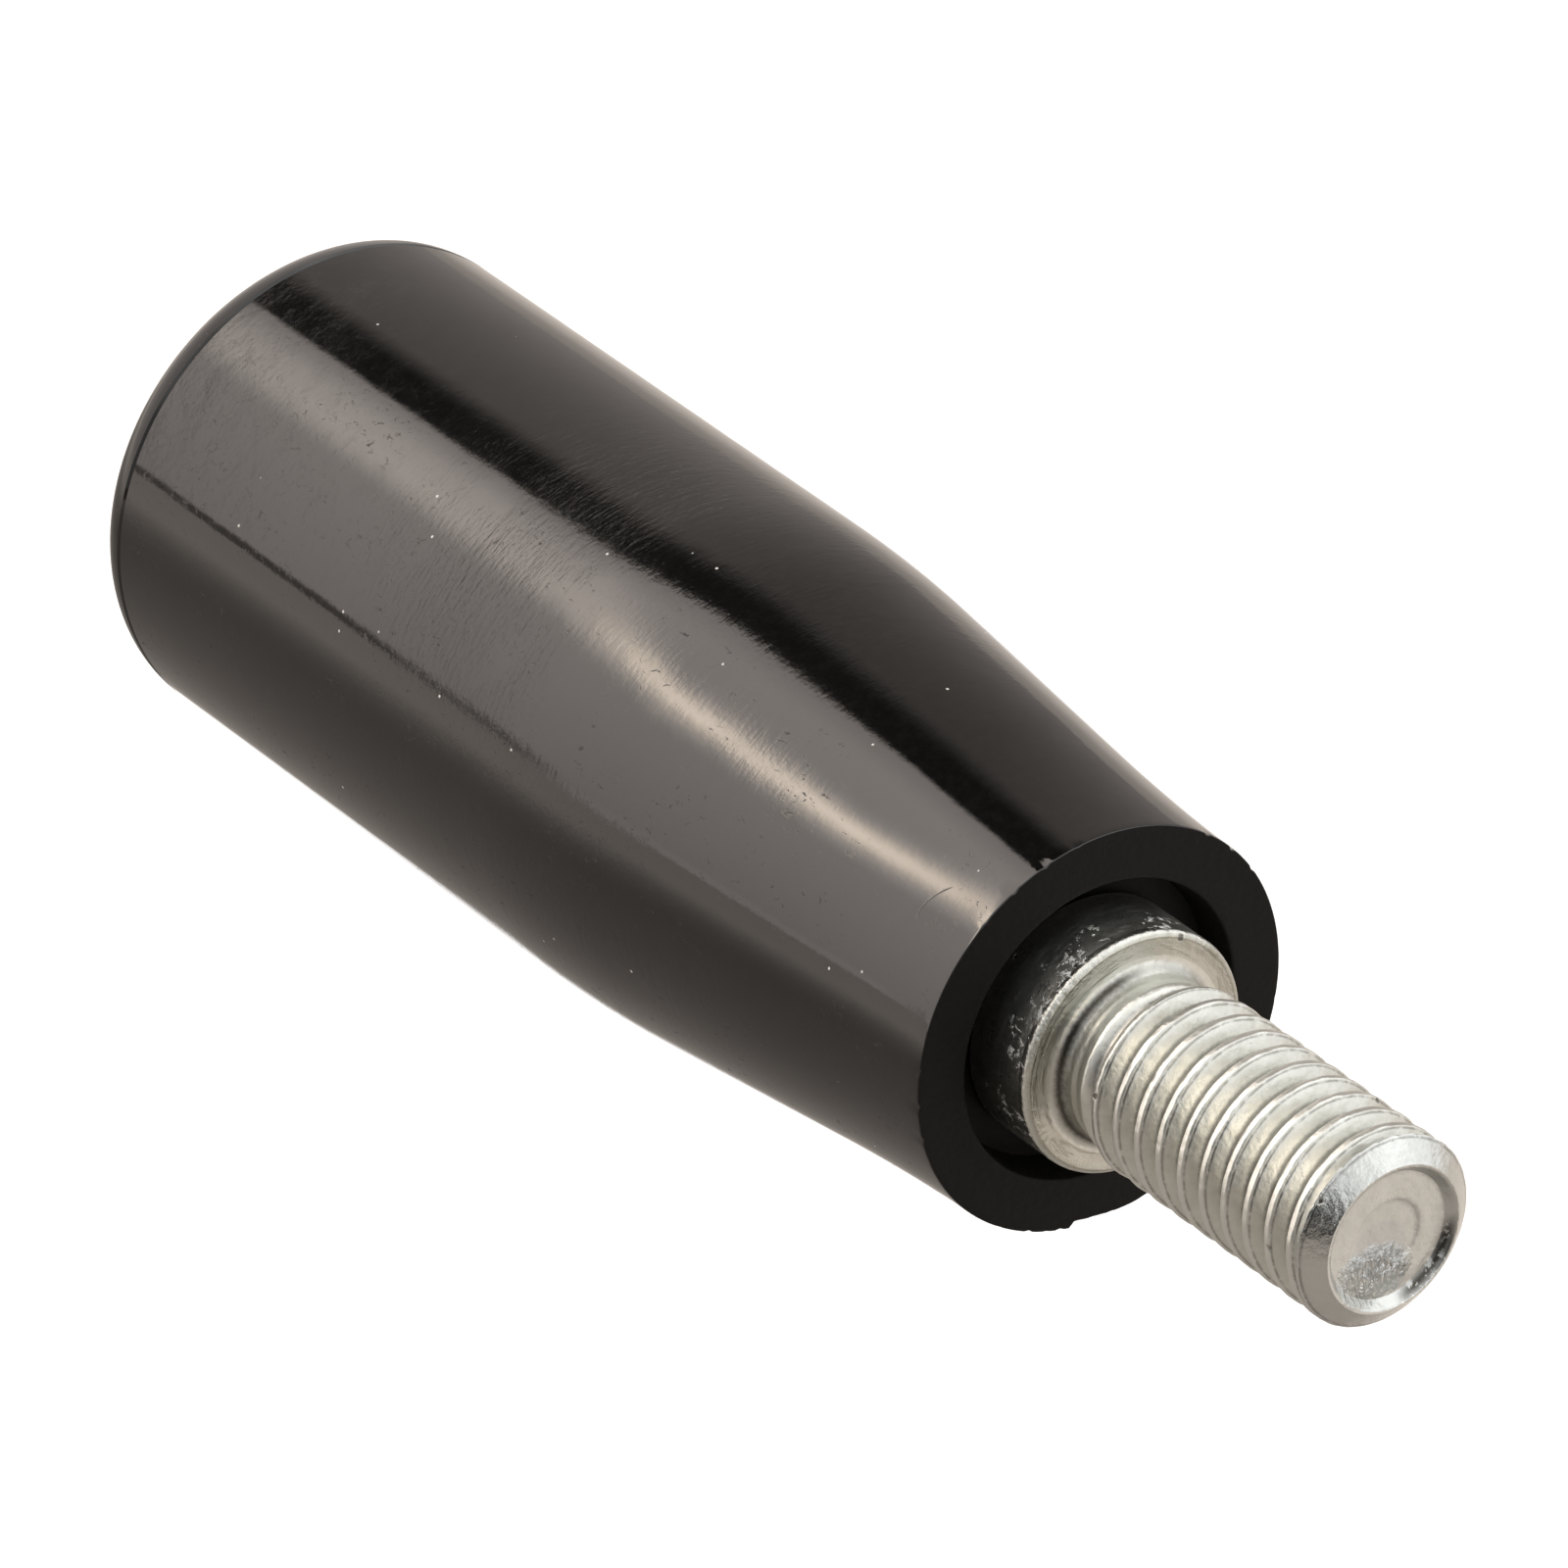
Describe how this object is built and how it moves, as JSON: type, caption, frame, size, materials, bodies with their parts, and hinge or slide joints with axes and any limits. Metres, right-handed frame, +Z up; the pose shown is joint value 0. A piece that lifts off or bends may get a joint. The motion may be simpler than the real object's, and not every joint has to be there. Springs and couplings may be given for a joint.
{
  "type": "revolving machine handle",
  "caption": "Short tapered black moulded grip that turns freely on a collared, zinc-plated steel spindle with a threaded stud.",
  "frame": {"origin": "centre of the spindle collar's front face, which seats against the lever or wheel", "axes": "+X along the common axis of grip and spindle, out of the threaded stud; +Z up as the handle stands on a vertical wheel"},
  "size_m": [0.0536, 0.0158, 0.0158],
  "materials": {
    "moulded_grip": "black moulded phenolic, glossy, with fine handling marks",
    "plated_steel": "bright zinc plate on turned and thread-rolled steel",
    "spring_wire": "drawn spring wire, lightly oiled"
  },
  "bodies": {
    "spindle": {"spindle": "plated_steel", "retaining_ring": "spring_wire"},
    "grip": {"grip": "moulded_grip"}
  },
  "joints": [
    {"name": "grip_spin", "type": "hinge", "parent": "spindle", "child": "grip", "pos_m": [0, 0, 0], "axis": [1, 0, 0], "continuous": true}
  ]
}
